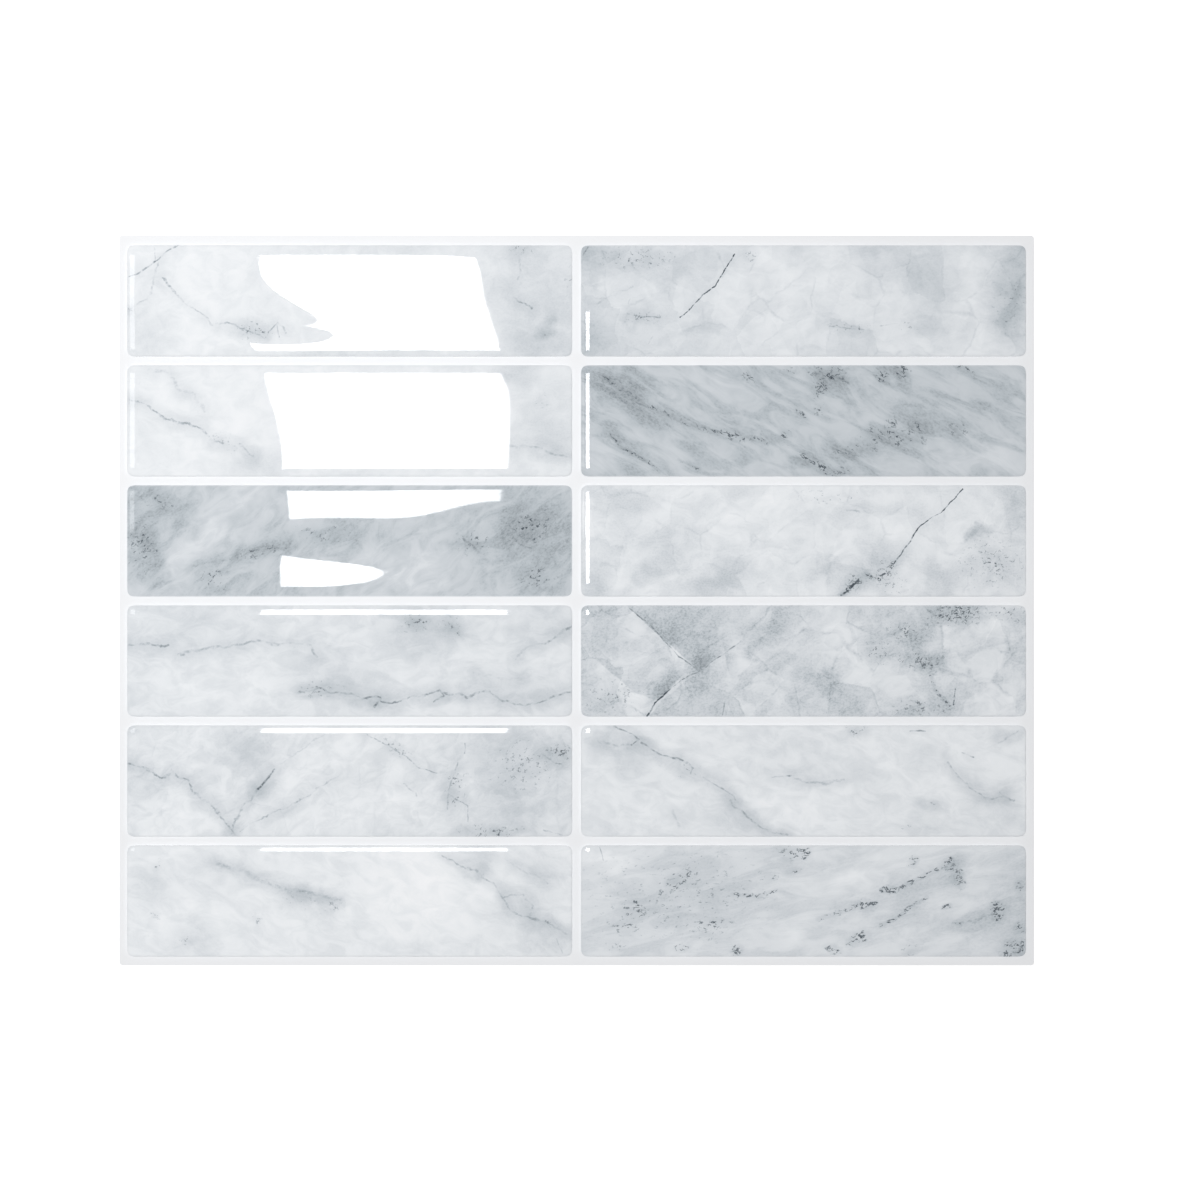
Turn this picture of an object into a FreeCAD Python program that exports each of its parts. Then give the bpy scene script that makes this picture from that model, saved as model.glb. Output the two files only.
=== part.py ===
import FreeCAD, Part
import Sketcher
import math
import os

# Peel and stick backsplash tile, in millimetres.
#
# One sheet of printed vinyl film, sticky on its back, carries a grid of clear gel tiles. Each tile
# is poured as liquid resin inside the outline of a printed stone plank and sets with a flat face,
# round corners and a rolled shoulder, so bare film shows between the tiles as the grout lines.
# A paper liner covers the sticky back until the sheet is hung.
#
# The sheet lies face up: +X runs along the tiles, +Y from the bottom row to the top row and
# +Z out of the face. The origin is the middle of the liner's underside.

# Every size that can be set by itself.
SIZES = {
    # grid of tiles
    "columns": 2,
    "rows": 6,
    "joint_width": 2.8,
    # one gel tile
    "tile_length": 142.4,
    "tile_width": 35.6,
    "tile_corner_radius": 2.0,
    "gel_height": 1.6,
    "shoulder_radius": 1.4,
    # bare film outside the grid
    "side_margin": 2.6,
    "top_margin": 3.2,
    "bottom_margin": 2.8,
    # film and liner
    "film_thickness": 0.3,
    "liner_thickness": 0.15,
    "sheet_corner_radius": 1.0,
}

# Sizes and places that follow from those, as expressions on the spreadsheet.
SHEET_LENGTH = (
    "(sizes.columns * (sizes.tile_length + sizes.joint_width) - sizes.joint_width"
    " + 2 * sizes.side_margin)"
)
SHEET_WIDTH = (
    "(sizes.rows * (sizes.tile_width + sizes.joint_width) - sizes.joint_width"
    " + sizes.top_margin + sizes.bottom_margin)"
)
FIRST_TILE_X = f"(sizes.side_margin + sizes.tile_length / 2 - {SHEET_LENGTH} / 2)"
FIRST_TILE_Y = f"({SHEET_WIDTH} / 2 - sizes.top_margin - sizes.tile_width / 2)"
TILE_STEP_X = "(sizes.tile_length + sizes.joint_width)"
TILE_STEP_Y = "(sizes.tile_width + sizes.joint_width)"
FILM_TOP = "(sizes.liner_thickness + sizes.film_thickness)"

# The shoulder's arc has to leave a little wall at the foot and a little arc at each corner.
ARC_SHARE = 0.95
SHOULDER = (
    f"min(sizes.shoulder_radius; {ARC_SHARE} * sizes.gel_height;"
    f" {ARC_SHARE} * sizes.tile_corner_radius)"
)

# How near two heights are to count as one when the rim of a face is looked for.
SAME_HEIGHT = 1e-6


def make_sizes(document):
    """The spreadsheet of driving dimensions, one named cell each."""
    sheet = document.addObject("Spreadsheet::Sheet", "sizes")
    for row, (name, value) in enumerate(SIZES.items(), start=1):
        sheet.set(f"A{row}", name)
        sheet.set(f"B{row}", str(value))
        sheet.setAlias(f"B{row}", name)
    document.recompute()
    return sheet


def rounded_rectangle(body, name, length, width, radius):
    """A centred sketch on the body's XY plane: four sides joined by four tangent arcs.

    length, width and radius are expressions.
    """
    ground = next(o for o in body.Origin.OriginFeatures if o.Role == "XY_Plane")
    sketch = body.newObject("Sketcher::SketchObject", name)
    sketch.AttachmentSupport = [(ground, "")]
    sketch.MapMode = "FlatFace"

    # A rough square to start from, which the constraints pull to size. Side k runs along the
    # square's edge k, and arc k turns from side k to side k + 1, anticlockwise from the bottom.
    half, start_radius = 10.0, 1.0
    flat = half - start_radius
    for k in range(4):
        turn = FreeCAD.Rotation(FreeCAD.Vector(0, 0, 1), 90 * k)
        side_start = turn.multVec(FreeCAD.Vector(-flat, -half, 0))
        side_end = turn.multVec(FreeCAD.Vector(flat, -half, 0))
        sketch.addGeometry(Part.LineSegment(side_start, side_end))
    for k in range(4):
        turn = FreeCAD.Rotation(FreeCAD.Vector(0, 0, 1), 90 * k)
        centre = turn.multVec(FreeCAD.Vector(flat, -flat, 0))
        circle = Part.Circle(centre, FreeCAD.Vector(0, 0, 1), start_radius)
        first_angle = math.radians(90 * k - 90)
        sketch.addGeometry(Part.ArcOfCircle(circle, first_angle, first_angle + math.pi / 2))

    start, end = 1, 2
    bottom, right, top, left = range(4)
    first_arc = 4
    for k in range(4):
        sketch.addConstraint(Sketcher.Constraint("Tangent", k, end, first_arc + k, start))
        sketch.addConstraint(Sketcher.Constraint("Tangent", first_arc + k, end, (k + 1) % 4, start))
    for k in range(1, 4):
        sketch.addConstraint(Sketcher.Constraint("Equal", first_arc, first_arc + k))
    sketch.addConstraint(Sketcher.Constraint("Horizontal", bottom))
    sketch.addConstraint(Sketcher.Constraint("Vertical", right))
    sketch.addConstraint(Sketcher.Constraint("Horizontal", top))
    sketch.addConstraint(Sketcher.Constraint("Vertical", left))
    origin_point = (-1, 1)
    sketch.addConstraint(Sketcher.Constraint("Symmetric", bottom, start, top, start, *origin_point))
    driven = {
        length: Sketcher.Constraint("DistanceX", left, start, right, start, 2 * half),
        width: Sketcher.Constraint("DistanceY", bottom, start, top, start, 2 * half),
        radius: Sketcher.Constraint("Radius", first_arc, start_radius),
    }
    for expression, constraint in driven.items():
        index = sketch.addConstraint(constraint)
        sketch.setExpression(f"Constraints[{index}]", expression)
    return sketch


def make_pad(body, sketch, height):
    """Raises the sketch by a height, which is an expression."""
    pad = body.newObject("PartDesign::Pad", "pad")
    pad.Profile = sketch
    pad.setExpression("Length", height)
    body.Document.recompute()
    return pad


def make_layer(document, name, thickness, bottom="0"):
    """A flat layer with the sheet's outline: the film or the liner.

    thickness is an expression, and so is bottom, the height of the layer's underside.
    """
    body = document.addObject("PartDesign::Body", name)
    body.Label = name
    sketch = rounded_rectangle(
        body, "outline", SHEET_LENGTH, SHEET_WIDTH, "sizes.sheet_corner_radius"
    )
    make_pad(body, sketch, thickness)
    body.setExpression("Placement.Base.z", bottom)
    return body


def make_gel_tile(document, column, row):
    """One poured gel tile, seated on the film. Column 1 is on the left and row 1 at the top."""
    name = f"gel_tile_row{row}_col{column}"
    body = document.addObject("PartDesign::Body", name)
    body.Label = name
    sketch = rounded_rectangle(
        body, "plank", "sizes.tile_length", "sizes.tile_width", "sizes.tile_corner_radius"
    )
    pad = make_pad(body, sketch, "sizes.gel_height")

    # The rolled shoulder follows the rim of the tile's flat face.
    highest = max(face.CenterOfMass.z for face in pad.Shape.Faces)
    rim = [
        f"Edge{number}"
        for number, edge in enumerate(pad.Shape.Edges, start=1)
        if abs(edge.BoundBox.ZMin - highest) < SAME_HEIGHT
    ]
    shoulder = body.newObject("PartDesign::Fillet", "shoulder")
    shoulder.Base = (pad, rim)
    shoulder.setExpression("Radius", SHOULDER)

    body.setExpression("Placement.Base.x", f"{FIRST_TILE_X} + {column - 1} * {TILE_STEP_X}")
    body.setExpression("Placement.Base.y", f"{FIRST_TILE_Y} - {row - 1} * {TILE_STEP_Y}")
    body.setExpression("Placement.Base.z", FILM_TOP)
    return body


def check(document, parts):
    """Stops before anything is written if a feature failed or a part is not a sound solid."""
    for item in document.Objects:
        if {"Invalid", "Error"} & set(item.State):
            raise RuntimeError(f"{item.Label} did not build: {item.State}")
    for part in parts:
        if part.Shape.isNull() or not part.Shape.isValid() or len(part.Shape.Solids) != 1:
            raise RuntimeError(f"{part.Label} is not one valid solid")


def main():
    document = FreeCAD.newDocument("backsplash_tile")
    sizes = make_sizes(document)

    parts = [
        make_layer(document, "release_liner", "sizes.liner_thickness"),
        make_layer(document, "printed_film", "sizes.film_thickness", "sizes.liner_thickness"),
    ]
    for row in range(1, int(sizes.rows) + 1):
        for column in range(1, int(sizes.columns) + 1):
            parts.append(make_gel_tile(document, column, row))
    document.recompute()
    check(document, parts)

    os.makedirs("parts", exist_ok=True)
    for part in parts:
        part.Shape.exportStep(f"parts/{part.Label}.step")
        box = part.Shape.BoundBox
        print(
            f"{part.Label}: {box.XLength:.2f} x {box.YLength:.2f} x {box.ZLength:.2f} mm,"
            f" {part.Shape.Volume:.0f} mm3"
        )


main()
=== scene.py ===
# %% [markdown]
# # Peel and stick backsplash tile
# The real sheet is three things on top of each other: a paper liner, a white vinyl film with a
# stone print on it, and twelve domes of clear gel, each poured over one printed plank. The packed
# frame holds them at their real size. This lesson gives them their looks: it models the gel domes
# again with the soft shoulders of poured resin, paints twelve planks of marble with shader nodes,
# finishes the film and the liner, and lights the sheet so that the gel shows its gloss.

# %% Load the frame
import math

import bmesh
import bpy
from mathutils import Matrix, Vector


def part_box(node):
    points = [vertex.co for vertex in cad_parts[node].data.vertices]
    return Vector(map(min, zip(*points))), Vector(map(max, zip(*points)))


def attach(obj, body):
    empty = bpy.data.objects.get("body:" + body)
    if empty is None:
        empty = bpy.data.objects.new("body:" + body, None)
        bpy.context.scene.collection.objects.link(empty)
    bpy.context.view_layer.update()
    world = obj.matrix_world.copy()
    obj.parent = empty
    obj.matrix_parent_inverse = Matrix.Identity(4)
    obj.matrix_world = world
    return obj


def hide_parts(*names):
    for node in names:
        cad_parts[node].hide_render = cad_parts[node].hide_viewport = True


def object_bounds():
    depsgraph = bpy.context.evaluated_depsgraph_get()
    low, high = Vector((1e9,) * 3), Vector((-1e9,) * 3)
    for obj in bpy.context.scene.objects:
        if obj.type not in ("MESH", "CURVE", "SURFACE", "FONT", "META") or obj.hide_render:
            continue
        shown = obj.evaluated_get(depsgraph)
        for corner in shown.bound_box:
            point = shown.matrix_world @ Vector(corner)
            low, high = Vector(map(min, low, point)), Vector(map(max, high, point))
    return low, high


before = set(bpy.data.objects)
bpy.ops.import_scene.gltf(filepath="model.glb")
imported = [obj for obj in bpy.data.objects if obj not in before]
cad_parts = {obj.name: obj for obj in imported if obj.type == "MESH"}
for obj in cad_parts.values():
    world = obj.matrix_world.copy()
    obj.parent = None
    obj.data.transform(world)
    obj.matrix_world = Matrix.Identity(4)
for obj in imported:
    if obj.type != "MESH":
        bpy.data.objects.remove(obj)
cad_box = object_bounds()
print("CAD box:", cad_box)

# %% [markdown]
# ## Helpers
# A colour is given as an sRGB hex value, but a shader reads linear light, so one function turns the one
# into the other. Another adds a node with its settings and links, and hands back an output, so that a
# material reads from top to bottom like a recipe. Two more start a material and turn a finished shape
# into an object.

# %% Helpers for colours, nodes and pieces
MM = 0.001


def linear(hex_colour):
    """Turns an sRGB hex colour into the linear colour that a shader reads."""
    channels = [int(hex_colour[start:start + 2], 16) / 255 for start in (1, 3, 5)]
    return [c / 12.92 if c <= 0.04045 else ((c + 0.055) / 1.055) ** 2.4 for c in channels] + [1.0]


def add(tree, kind, inputs=None, out=None, **settings):
    """Adds a node, sets it, fills or links its inputs, and returns the output called out or the first."""
    node = tree.nodes.new(kind)
    for name, value in settings.items():
        setattr(node, name, value)
    for key, value in (inputs or {}).items():
        if isinstance(value, bpy.types.NodeSocket):
            tree.links.new(value, node.inputs[key])
        else:
            node.inputs[key].default_value = value
    return node.outputs[out] if out else next((o for o in node.outputs if o.enabled), None)


def new_material(name):
    """A material with an empty tree, and that tree."""
    material = bpy.data.materials.new(name)
    material.use_nodes = True
    material.node_tree.nodes.clear()
    return material, material.node_tree


def new_piece(name, shape):
    """Turns a bmesh into an object of the scene, and frees the bmesh."""
    mesh = bpy.data.meshes.new(name)
    shape.to_mesh(mesh)
    shape.free()
    piece = bpy.data.objects.new(name, mesh)
    bpy.context.scene.collection.objects.link(piece)
    return piece


print("Pale stone grey is", [round(c, 3) for c in linear("#DADEE1")])

# %% [markdown]
# ## The camera
# The photograph looks straight down on the sheet from a little over a metre, with a long lens, so
# that the tiles keep their square corners. The camera sits a few millimetres right of the middle,
# because the sheet lies left of the middle of the picture.

# %% Camera
CAMERA_HEIGHT = 1300 * MM
CAMERA_RIGHT = 7.5 * MM
CAMERA_UP = 0.1 * MM
PICTURE_WIDTH = 383.7 * MM

face_height = cad_box[1][2]
camera = bpy.data.objects.new("camera", bpy.data.cameras.new("camera"))
camera.data.lens = camera.data.sensor_width * CAMERA_HEIGHT / PICTURE_WIDTH
camera.location = (CAMERA_RIGHT, CAMERA_UP, face_height + CAMERA_HEIGHT)
bpy.context.scene.collection.objects.link(camera)
bpy.context.scene.camera = camera
print("Lens:", round(camera.data.lens, 1), "mm")

# %% [markdown]
# ## A poured gel tile
# Liquid resin is poured inside the outline of a printed plank. It stops at the outline, stands
# 1.6 mm high and sets with a nearly flat face. A bevelled box would have a shoulder of one round
# arc, and its highlight would be too thin and too even. Here a grid is laid over the plank,
# closer at the edges, and a formula lifts it. Three millimetres from the edge the face starts to
# turn down, as slowly as the crown of a road. In the last millimetre it rolls over to the upright
# wall that surface tension holds at the outline, and the wall is pulled down from the grid's
# border. The set face isn't a perfect mirror either: it keeps shallow dents, most of them a few
# tenths of a millimetre deep and centimetres wide, and they bend the outline of whatever it
# mirrors.

# %% The shape of a gel tile
# Lengths are in mm, and the crown's curve is one over its radius in mm.
SHOULDER_WIDTH = 3.15
SHOULDER_STEPS = 16
CROWN_CURVE = 0.052
FOOT_WIDTH = 0.65
FOOT_DROP = 0.36
FOOT_POWER = 2.0
CORNER_POWER = 3.0
FACE_STEP = 1.2


def grid_lines(half):
    """Places of the grid's lines from -half to half in mm: even on the face, close on the shoulders."""
    flat = half - SHOULDER_WIDTH
    steps = round(2 * flat / FACE_STEP)
    face = [flat * (2 * k / steps - 1) for k in range(steps + 1)]
    turn = math.pi / 2 / SHOULDER_STEPS
    rise = [flat + SHOULDER_WIDTH * math.sin(turn * k) for k in range(1, SHOULDER_STEPS + 1)]
    return [-place for place in reversed(rise)] + face + rise


def shoulder_height(over_x, over_y, ring, height):
    """Height of the gel outside the flat face, all in mm: a slow crown, and a roll on the last rings."""
    roll = max(0.0, ring - SHOULDER_WIDTH + FOOT_WIDTH) / FOOT_WIDTH
    return height - CROWN_CURVE / 2 * (over_x**2 + over_y**2) - FOOT_DROP * roll**FOOT_POWER


def face_sag(x, y, half_x, half_y, sag, dents):
    """How far the set face lies under the poured height at x, y in mm: most in the middle."""
    depth = sag * max(0.0, 1 - (x / half_x) ** 2) * max(0.0, 1 - (y / half_y) ** 2)
    for dent_depth, dent_x, dent_y, reach_x, reach_y, angle in dents:
        turn = math.radians(angle)
        along = ((x - dent_x) * math.cos(turn) + (y - dent_y) * math.sin(turn)) / reach_x
        across = ((y - dent_y) * math.cos(turn) - (x - dent_x) * math.sin(turn)) / reach_y
        depth += dent_depth * math.exp(-(along * along + across * across) / 2)
    return depth


def gel_tile(node, sag, dents):
    """A closed gel dome in the place of a CAD node, and its middle and half size in mm."""
    low, high = (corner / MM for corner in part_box(node))
    middle = (low + high) / 2
    half_x, half_y, height = (high.x - low.x) / 2, (high.y - low.y) / 2, high.z - low.z
    columns, rows = grid_lines(half_x), grid_lines(half_y)
    flat_x, flat_y = half_x - SHOULDER_WIDTH, half_y - SHOULDER_WIDTH

    shape = bmesh.new()
    bmesh.ops.create_grid(shape, x_segments=len(columns) - 1, y_segments=len(rows) - 1, size=1)
    for vertex in shape.verts:
        x = columns[round((vertex.co.x + 1) / 2 * (len(columns) - 1))]
        y = rows[round((vertex.co.y + 1) / 2 * (len(rows) - 1))]
        over_x, over_y = max(0.0, abs(x) - flat_x), max(0.0, abs(y) - flat_y)
        ring = max(over_x, over_y)
        if over_x > 0 and over_y > 0:
            pull = ring / (over_x**CORNER_POWER + over_y**CORNER_POWER) ** (1 / CORNER_POWER)
            over_x, over_y = over_x * pull, over_y * pull
            x = math.copysign(flat_x + over_x, x)
            y = math.copysign(flat_y + over_y, y)
        lift = shoulder_height(over_x, over_y, ring, height)
        lift *= 1 - face_sag(x, y, half_x, half_y, sag, dents) / height
        vertex.co = Vector((middle.x + x, middle.y + y, low.z + lift)) * MM

    rim = [edge for edge in shape.edges if edge.is_boundary]
    wall = bmesh.ops.extrude_edge_only(shape, edges=rim)["geom"]
    for vertex in wall:
        if isinstance(vertex, bmesh.types.BMVert):
            vertex.co.z = low.z * MM
    for face in shape.faces:
        face.smooth = True
    foot = [edge for edge in shape.edges if edge.is_boundary]
    for edge in rim + foot:
        edge.smooth = False
    bmesh.ops.edgeloop_fill(shape, edges=foot)
    bmesh.ops.recalc_face_normals(shape, faces=shape.faces)
    return new_piece(f"{node}_dome", shape), middle, high - middle


print("Lines across a tile:", len(grid_lines(17.8)))

# %% [markdown]
# ## Marble, one field at a time
# The print is a scan of grey and white marble. Its grey is the sum of what happened to the stone:
# slow clouds with mottling inside them, streaks along the bed, pieces that broke and healed with
# thin seams, veins and cracks where it split, fine crystals like salt, and marks of dark mineral.
# Each one is a field of numbers over the plank, in millimetres from its middle, and each darkens
# the tone by a share of the way from white to black. A ramp then turns tone into colour, because
# this marble is bluer where it is darker. A picture of marble could be laid on the plank instead,
# but fields stay sharp at any size and every vein can be moved.

# %% Lines and soft spots by distance
MATH = "ShaderNodeMath"
VECTOR = "ShaderNodeVectorMath"
NOISE = "ShaderNodeTexNoise"
PLACE = "ShaderNodeMapping"
RANGE = "ShaderNodeMapRange"
BREAK_WIDTH = 0.4


def line_distance(tree, place, points):
    """The distance in mm from a place to the nearest run of the line through the points."""
    nearest = None
    for start, end in zip(points, points[1:]):
        start, end = Vector((*start, 0)), Vector((*end, 0))
        run = end - start
        along = run / run.length_squared
        share = add(tree, VECTOR, {0: place, 1: along}, "Value", operation="DOT_PRODUCT")
        share = add(tree, MATH, {0: share, 1: along.dot(start)}, operation="SUBTRACT", use_clamp=True)
        foot = add(tree, VECTOR, {0: run, 1: share, 2: start}, operation="MULTIPLY_ADD")
        away = add(tree, VECTOR, {0: place, 1: foot}, "Value", operation="DISTANCE")
        if nearest is not None:
            away = add(tree, MATH, {0: nearest, 1: away}, operation="MINIMUM")
        nearest = away
    return nearest


def spots(tree, place, marks, cut=False):
    """The sum of soft ovals: each mark is depth, x, y, reach along x, reach along y and angle.

    A cut oval keeps only the half on the side of its own +y, so that it ends crisp at a break.
    """
    total = 0.0
    for depth, x, y, reach_x, reach_y, angle in marks:
        turn = (0, 0, math.radians(angle))
        oval = add(tree, PLACE, {"Vector": place, "Location": (x, y, 0), "Rotation": turn,
                                 "Scale": (reach_x, reach_y, 1)}, vector_type="TEXTURE")
        if cut:
            side = add(tree, "ShaderNodeSeparateXYZ", {0: oval}, "Y")
            depth = add(tree, RANGE, {"Value": side, "From Max": BREAK_WIDTH / reach_y, "To Max": depth})
        oval = add(tree, "ShaderNodeTexGradient", {"Vector": oval}, "Fac", gradient_type="SPHERICAL")
        total = add(tree, MATH, {0: oval, 1: depth, 2: total}, operation="MULTIPLY_ADD")
    return total


print("A cut oval ends over", BREAK_WIDTH, "mm")

# %% The marble's colour at each tone
MARBLE_TONES = (
    (0.25, "#3E4852"),
    (0.40, "#5E676E"),
    (0.53, "#7F888F"),
    (0.65, "#9CA4AA"),
    (0.75, "#B8C0C6"),
    (0.85, "#D3D8DD"),
    (0.95, "#EEF1F4"),
    (1.00, "#FAFBFD"),
)


def marble_colour(tree, tone):
    """The colour of the print at a tone from 0, black, to 1, white."""
    colour = add(tree, "ShaderNodeValToRGB", {"Fac": tone}, "Color")
    stops = colour.node.color_ramp.elements
    while len(stops) < len(MARBLE_TONES):
        stops.new(0.5)
    for stop, (position, hex_colour) in zip(stops, MARBLE_TONES):
        stop.position = position
        stop.color = linear(hex_colour)
    return colour


print("The marble has", len(MARBLE_TONES), "tones")

# %% Clouds, mottling and streaks
# Sizes of the marble's features are in mm.
CLOUD_SIZE = 30.0
MOTTLE_SIZE = 7.0


def ground(tree, stone, plank):
    """The tone of a plank before it broke: slow clouds, mottling inside them and streaks of the bed."""
    cloud = add(tree, NOISE, {"Vector": stone, "Scale": 1 / CLOUD_SIZE, "Detail": 8,
                              "Roughness": 0.56, "Distortion": 0.8}, "Fac")
    tone = add(tree, MATH, {0: cloud, 1: -plank["clouds"], 2: plank["tone"] + plank["clouds"] / 2},
               operation="MULTIPLY_ADD")
    mottle = add(tree, NOISE, {"Vector": stone, "Scale": 1 / MOTTLE_SIZE, "Detail": 8,
                               "Roughness": 0.62, "Distortion": 0.2}, "Fac")
    mottle = add(tree, MATH, {0: mottle, 1: plank["mottle"], 2: -plank["mottle"] / 2},
                 operation="MULTIPLY_ADD")
    tone = add(tree, MATH, {0: tone, 1: mottle}, operation="SUBTRACT")
    depth, angle, length, width = plank["streaks"]
    bed = add(tree, PLACE, {"Vector": stone, "Rotation": (0, 0, math.radians(angle)),
                            "Scale": (length, width, 1)}, vector_type="TEXTURE")
    bed = add(tree, NOISE, {"Vector": bed, "Scale": 1, "Detail": 7, "Roughness": 0.6,
                            "Distortion": 0.9}, "Fac")
    bed = add(tree, RANGE, {"Value": bed, "From Min": 0.35, "From Max": 0.68, "To Min": -depth / 2,
                            "To Max": depth / 2}, interpolation_type="SMOOTHSTEP")
    return add(tree, MATH, {0: tone, 1: bed}, operation="SUBTRACT")


print("A cloud is about", CLOUD_SIZE, "mm across, and a mottle", MOTTLE_SIZE, "mm")

# %% Broken and healed pieces
NET_SIZE = 14.0
SEAM_SHARE = 0.04


def broken_pieces(tree, tone, place, comes_and_goes, depth):
    """The tone once the stone broke: each piece has its own, and thin seams show here and there."""
    piece = add(tree, "ShaderNodeTexVoronoi", {"Vector": place, "Scale": 1 / NET_SIZE,
                                               "Detail": 1, "Roughness": 0.6}, "Color")
    piece = add(tree, "ShaderNodeSeparateColor", {"Color": piece}, "Red")
    piece = add(tree, MATH, {0: piece, 1: 0.5}, operation="SUBTRACT")
    tone = add(tree, MATH, {0: piece, 1: -depth, 2: tone}, operation="MULTIPLY_ADD")
    seam = add(tree, "ShaderNodeTexVoronoi", {"Vector": place, "Scale": 1 / NET_SIZE},
               "Distance", feature="DISTANCE_TO_EDGE")
    seam = add(tree, RANGE, {"Value": seam, "From Min": 0.0, "From Max": SEAM_SHARE,
                             "To Min": depth, "To Max": 0.0}, interpolation_type="SMOOTHSTEP")
    shown = add(tree, RANGE, {"Value": comes_and_goes, "From Min": 0.48, "From Max": 0.6})
    seam = add(tree, MATH, {0: seam, 1: shown}, operation="MULTIPLY")
    return add(tree, MATH, {0: tone, 1: seam}, operation="SUBTRACT")


print("A seam fades", NET_SIZE * SEAM_SHARE, "mm from the break")

# %% Veins, cracks and chains
HALO_REACH = 5.0
RAGGED_REACH = 0.5
CORE_SHARE = 0.55


def veins(tree, drift, beads, comes_and_goes, lines):
    """How much the veins and cracks darken a plank, and where its chains gather marks.

    Each line has a thin ragged core that comes and goes, in a soft halo.
    """
    ragged = add(tree, MATH, {0: beads["Red"], 1: RAGGED_REACH, 2: -RAGGED_REACH / 2},
                 operation="MULTIPLY_ADD")
    cores = {"vein": 0.0, "crack": 0.0, "chain": 0.0}
    halo = 0.0
    for kind, depth, width, halo_depth, points in lines:
        away = line_distance(tree, drift[kind], points)
        near = add(tree, MATH, {0: away, 1: ragged}, operation="ADD")
        core = add(tree, RANGE, {"Value": near, "From Min": 0.0, "From Max": width * CORE_SHARE,
                                 "To Min": depth, "To Max": 0.0}, interpolation_type="SMOOTHSTEP")
        cores[kind] = add(tree, MATH, {0: cores[kind], 1: core}, operation="MAXIMUM")
        if halo_depth:
            glow = add(tree, RANGE, {"Value": away, "From Min": 0.0, "From Max": HALO_REACH,
                                     "To Min": halo_depth, "To Max": 0.0},
                       interpolation_type="SMOOTHERSTEP")
            halo = add(tree, MATH, {0: halo, 1: glow}, operation="ADD")
    core = add(tree, MATH, {0: cores["vein"], 1: cores["crack"]}, operation="ADD")
    breaks = add(tree, RANGE, {"Value": comes_and_goes, "From Min": 0.38, "From Max": 0.58,
                               "To Min": 0.25, "To Max": 1.0})
    dots = add(tree, RANGE, {"Value": beads["Green"], "From Min": 0.4, "From Max": 0.6,
                             "To Min": 0.15, "To Max": 1.2})
    core = add(tree, MATH, {0: core, 1: breaks}, operation="MULTIPLY")
    core = add(tree, MATH, {0: core, 1: dots, 2: halo}, operation="MULTIPLY_ADD")
    return core, cores["chain"]


print("The soft halo of a vein reaches", HALO_REACH, "mm")

# %% Salt and dark mineral
SALT_SIZE = 0.6
SALT_STARTS = 0.02
SALT_FULL = -0.12
MARK_SIZE = 1.4
MARK_DEPTH = 0.55
MARK_SHADE = 0.04
DENSE_SHARE = 0.22


def salt(tree, tone, pressed, plank):
    """The tone with the fine crystals, like salt, that show where the stone is darker."""
    deep = add(tree, RANGE, {"Value": tone, "From Min": plank["tone"] + SALT_STARTS,
                             "From Max": plank["tone"] + SALT_FULL})
    grains = add(tree, NOISE, {"Vector": pressed, "Scale": 1 / SALT_SIZE, "Detail": 3,
                               "Roughness": 0.7}, "Fac")
    grains = add(tree, RANGE, {"Value": grains, "From Min": 0.45, "From Max": 0.7, "To Min": 0.0,
                               "To Max": plank["salt"]})
    grains = add(tree, MATH, {0: grains, 1: deep}, operation="MULTIPLY")
    return add(tree, MATH, {0: tone, 1: grains}, operation="SUBTRACT")


def mineral(tree, tone, dense, pressed, bead):
    """The tone with marks of dark mineral, thin and bent like ants, where they lie dense."""
    bent = add(tree, NOISE, {"Vector": pressed, "Scale": 1 / MARK_SIZE, "Detail": 3,
                             "Roughness": 0.6, "Distortion": 0.5}, "Fac")
    bent = add(tree, MATH, {0: bent, 1: 0.5}, operation="SUBTRACT")
    bent = add(tree, MATH, {0: bent}, operation="ABSOLUTE")
    mark = add(tree, RANGE, {"Value": bent, "From Min": 0.045, "From Max": 0.01})
    seen = add(tree, MATH, {0: dense, 1: DENSE_SHARE, 2: bead}, operation="MULTIPLY_ADD")
    seen = add(tree, RANGE, {"Value": seen, "From Min": 0.6, "From Max": 0.7})
    mark = add(tree, MATH, {0: mark, 1: seen}, operation="MULTIPLY")
    mark = add(tree, MATH, {0: mark, 1: MARK_DEPTH, 2: MARK_SHADE}, operation="MULTIPLY_ADD")
    some = add(tree, RANGE, {"Value": dense, "From Min": 0.0, "From Max": 0.5})
    mark = add(tree, MATH, {0: mark, 1: some}, operation="MULTIPLY")
    return add(tree, MATH, {0: tone, 1: mark}, operation="SUBTRACT")


print("A mark of mineral is about", MARK_SIZE, "mm long, and a grain of salt", SALT_SIZE, "mm")

# %% The painted glow at the edge of a plank
# Painted light: over its last half millimetre the print is painted halfway to near white. This painted
# glow stands in for the light that the clear gel's rim lets through from the white film, and it also
# lifts the shade on the steep foot.
EDGE_GLOW_WIDTH = 0.5
EDGE_GLOW_TONE = 0.97
EDGE_GLOW_SHARE = 0.5


def paint_edge_glow(tree, tone, place, half):
    """The tone painted paler at its very edge: a painted glow for light that the clear gel's rim lets
    through.
    """
    over = add(tree, VECTOR, {0: place}, operation="ABSOLUTE")
    over = add(tree, VECTOR, {0: over, 1: (half.x - EDGE_GLOW_WIDTH, half.y - EDGE_GLOW_WIDTH, 0)},
               operation="SUBTRACT")
    over = add(tree, "ShaderNodeSeparateXYZ", {0: over}).node.outputs
    over = add(tree, MATH, {0: over["X"], 1: over["Y"]}, operation="MAXIMUM")
    rim = add(tree, RANGE, {"Value": over, "From Max": EDGE_GLOW_WIDTH, "To Max": EDGE_GLOW_SHARE})
    return add(tree, "ShaderNodeMix", {0: rim, 2: tone, 3: EDGE_GLOW_TONE})


print("The print fades over its last", EDGE_GLOW_WIDTH, "mm")

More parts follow.
